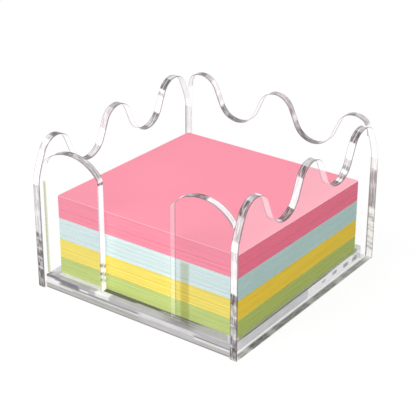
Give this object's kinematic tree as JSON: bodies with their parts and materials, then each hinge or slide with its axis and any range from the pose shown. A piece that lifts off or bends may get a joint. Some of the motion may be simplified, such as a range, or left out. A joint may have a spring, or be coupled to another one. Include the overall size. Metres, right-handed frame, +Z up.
{
  "type": "sticky note holder",
  "caption": "Clear open-topped box with wavy rims and an open front between two corner panels, holding a stack of square note pads in pink, mint, yellow and green.",
  "frame": {"origin": "middle of the box's footprint, on the table", "axes": "+Z up, +X to the viewer's right when facing the open front, +Y from the open front to the back wall"},
  "size_m": [0.0862, 0.0886, 0.056],
  "materials": {
    "clear_acrylic": "clear polished sheet with polished edges",
    "pink_paper": "uncoated notepaper, soft pink",
    "mint_paper": "uncoated notepaper, pale mint",
    "yellow_paper": "uncoated notepaper, yellow",
    "green_paper": "uncoated notepaper, yellow-green"
  },
  "bodies": {
    "box": {"base_plate": "clear_acrylic", "left_wall": "clear_acrylic", "right_wall": "clear_acrylic", "back_wall": "clear_acrylic", "front_left_panel": "clear_acrylic", "front_right_panel": "clear_acrylic"},
    "green_notes": {"green_pad": "green_paper"},
    "yellow_notes": {"yellow_pad": "yellow_paper"},
    "mint_notes": {"mint_pad": "mint_paper"},
    "pink_lower_notes": {"pink_lower_pad": "pink_paper"},
    "pink_upper_notes": {"pink_upper_pad": "pink_paper"}
  },
  "joints": [
    {"name": "green_lift", "type": "slide", "parent": "box", "child": "green_notes", "axis": [0, 0, 1], "range_m": [0, 0.054]},
    {"name": "yellow_lift", "type": "slide", "parent": "green_notes", "child": "yellow_notes", "axis": [0, 0, 1], "range_m": [0, 0.048]},
    {"name": "mint_lift", "type": "slide", "parent": "yellow_notes", "child": "mint_notes", "axis": [0, 0, 1], "range_m": [0, 0.041]},
    {"name": "pink_lower_lift", "type": "slide", "parent": "mint_notes", "child": "pink_lower_notes", "axis": [0, 0, 1], "range_m": [0, 0.032]},
    {"name": "pink_upper_lift", "type": "slide", "parent": "pink_lower_notes", "child": "pink_upper_notes", "axis": [0, 0, 1], "range_m": [0, 0.029]}
  ]
}
